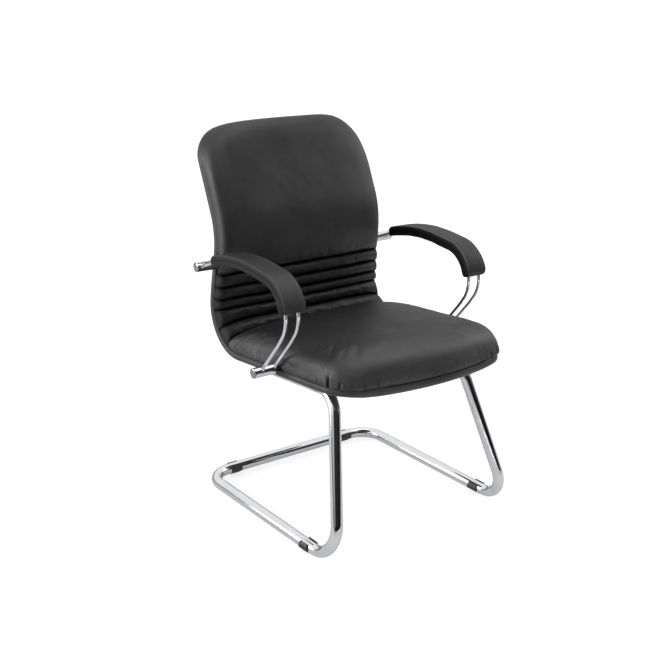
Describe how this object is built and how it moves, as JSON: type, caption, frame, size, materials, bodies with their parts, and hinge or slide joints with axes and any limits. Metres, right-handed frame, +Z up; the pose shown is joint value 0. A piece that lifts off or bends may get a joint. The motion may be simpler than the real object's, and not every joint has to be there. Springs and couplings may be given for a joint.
{
  "type": "cantilever office armchair",
  "caption": "Cantilever armchair with a bent chrome tube frame, a channelled black leather seat and back on one shell, and padded twin-rod arms.",
  "frame": {"origin": "on the floor, in the middle of the chair's width and depth", "axes": "X across the chair to the sitter's left as seen from the front, -Y the way the chair faces, +Z up"},
  "size_m": [0.6322, 0.6912, 0.9358],
  "materials": {
    "chrome_tube": "polished",
    "chrome_rod": "polished",
    "black_plastic": "satin",
    "core_plastic": "matt",
    "plate_steel": "black powder coat",
    "zinc_steel": "zinc plated",
    "plywood": "plain birch",
    "black_leather": "soft semi-matt, padded",
    "pad_leather": "soft semi-matt, padded"
  },
  "bodies": {
    "root": {"frame_tube": "chrome_tube", "left_rail_plug": "black_plastic", "right_rail_plug": "black_plastic", "front_cross_plate": "plate_steel", "rear_cross_plate": "plate_steel", "rear_left_glide": "black_plastic", "rear_right_glide": "black_plastic", "front_left_glide": "black_plastic", "front_right_glide": "black_plastic", "seat_shell": "plywood", "seat_cushion": "black_leather", "back_cushion": "black_leather", "seat_under_cover": "black_leather", "back_cover": "black_leather", "upper_cross_tube": "chrome_tube", "lower_cross_tube": "chrome_tube", "upper_left_cap": "chrome_tube", "upper_right_cap": "chrome_tube", "lower_left_cap": "chrome_tube", "lower_right_cap": "chrome_tube", "upper_left_saddle": "zinc_steel", "upper_right_saddle": "zinc_steel", "lower_left_saddle": "zinc_steel", "lower_right_saddle": "zinc_steel", "saddle_screws": "zinc_steel", "left_outer_rod": "chrome_rod", "left_inner_rod": "chrome_rod", "right_inner_rod": "chrome_rod", "right_outer_rod": "chrome_rod", "left_core_base": "core_plastic", "left_core_top": "core_plastic", "right_core_base": "core_plastic", "right_core_top": "core_plastic", "left_arm_pad": "pad_leather", "right_arm_pad": "pad_leather", "core_screws": "zinc_steel", "seat_bolts": "zinc_steel", "seat_washers": "zinc_steel", "seat_spacers": "zinc_steel", "tee_nuts": "zinc_steel"}
  },
  "joints": []
}
